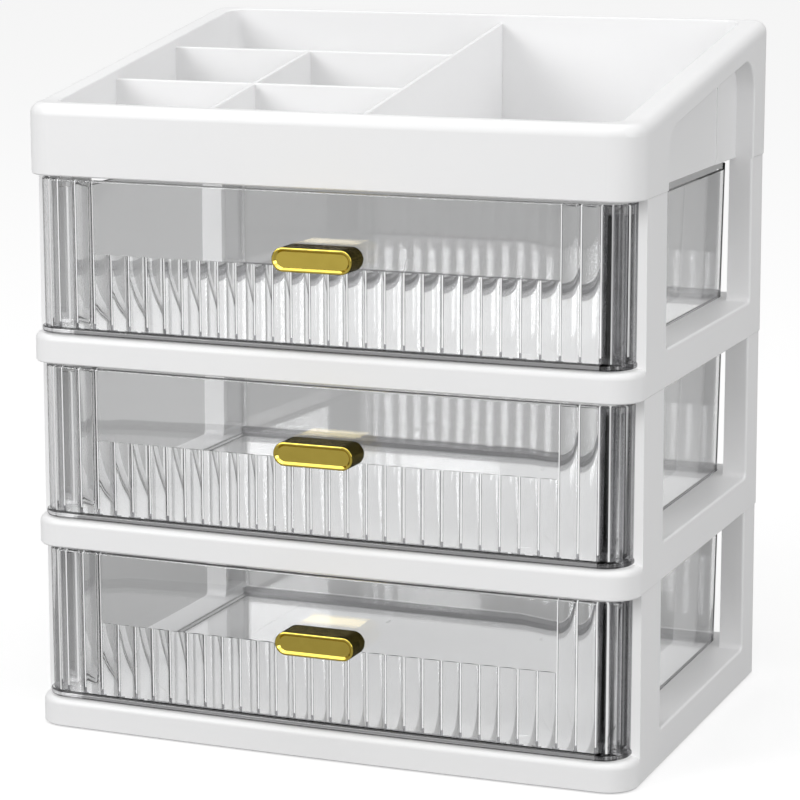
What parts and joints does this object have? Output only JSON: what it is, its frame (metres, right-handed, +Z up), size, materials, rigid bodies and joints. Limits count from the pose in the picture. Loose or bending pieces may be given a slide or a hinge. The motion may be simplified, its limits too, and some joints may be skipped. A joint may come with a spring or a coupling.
{
  "type": "desktop storage drawer",
  "caption": "Desktop storage cabinet: stacked white frames with clear ribbed pull-out drawers, gold bar handles and a sloping divided tray on top.",
  "frame": {"origin": "centre of the cabinet's footprint, on the table top it rests on", "axes": "+Z up; the drawers open towards -Y; X runs across the width"},
  "size_m": [0.25, 0.1945, 0.2764],
  "materials": {
    "white_plastic": "smooth moulded polystyrene, semi-gloss",
    "clear_plastic": "clear moulded polystyrene, polished",
    "gold_plate": "polished gold plate",
    "screw_steel": "zinc plated"
  },
  "bodies": {
    "cabinet": {"tier_frame_bottom": "white_plastic", "tier_frame_middle": "white_plastic", "tier_frame_top": "white_plastic", "top_tray": "white_plastic"},
    "drawer_unit_bottom": {"drawer_bottom": "clear_plastic", "handle_bottom": "gold_plate", "handle_screws_bottom": "screw_steel"},
    "drawer_unit_middle": {"drawer_middle": "clear_plastic", "handle_middle": "gold_plate", "handle_screws_middle": "screw_steel"},
    "drawer_unit_top": {"drawer_top": "clear_plastic", "handle_top": "gold_plate", "handle_screws_top": "screw_steel"}
  },
  "joints": [
    {"name": "drawer_slide_bottom", "type": "slide", "parent": "cabinet", "child": "drawer_unit_bottom", "axis": [0, -1, 0], "range_m": [0, 0.125]},
    {"name": "drawer_slide_middle", "type": "slide", "parent": "cabinet", "child": "drawer_unit_middle", "axis": [0, -1, 0], "range_m": [0, 0.125]},
    {"name": "drawer_slide_top", "type": "slide", "parent": "cabinet", "child": "drawer_unit_top", "axis": [0, -1, 0], "range_m": [0, 0.125]}
  ]
}
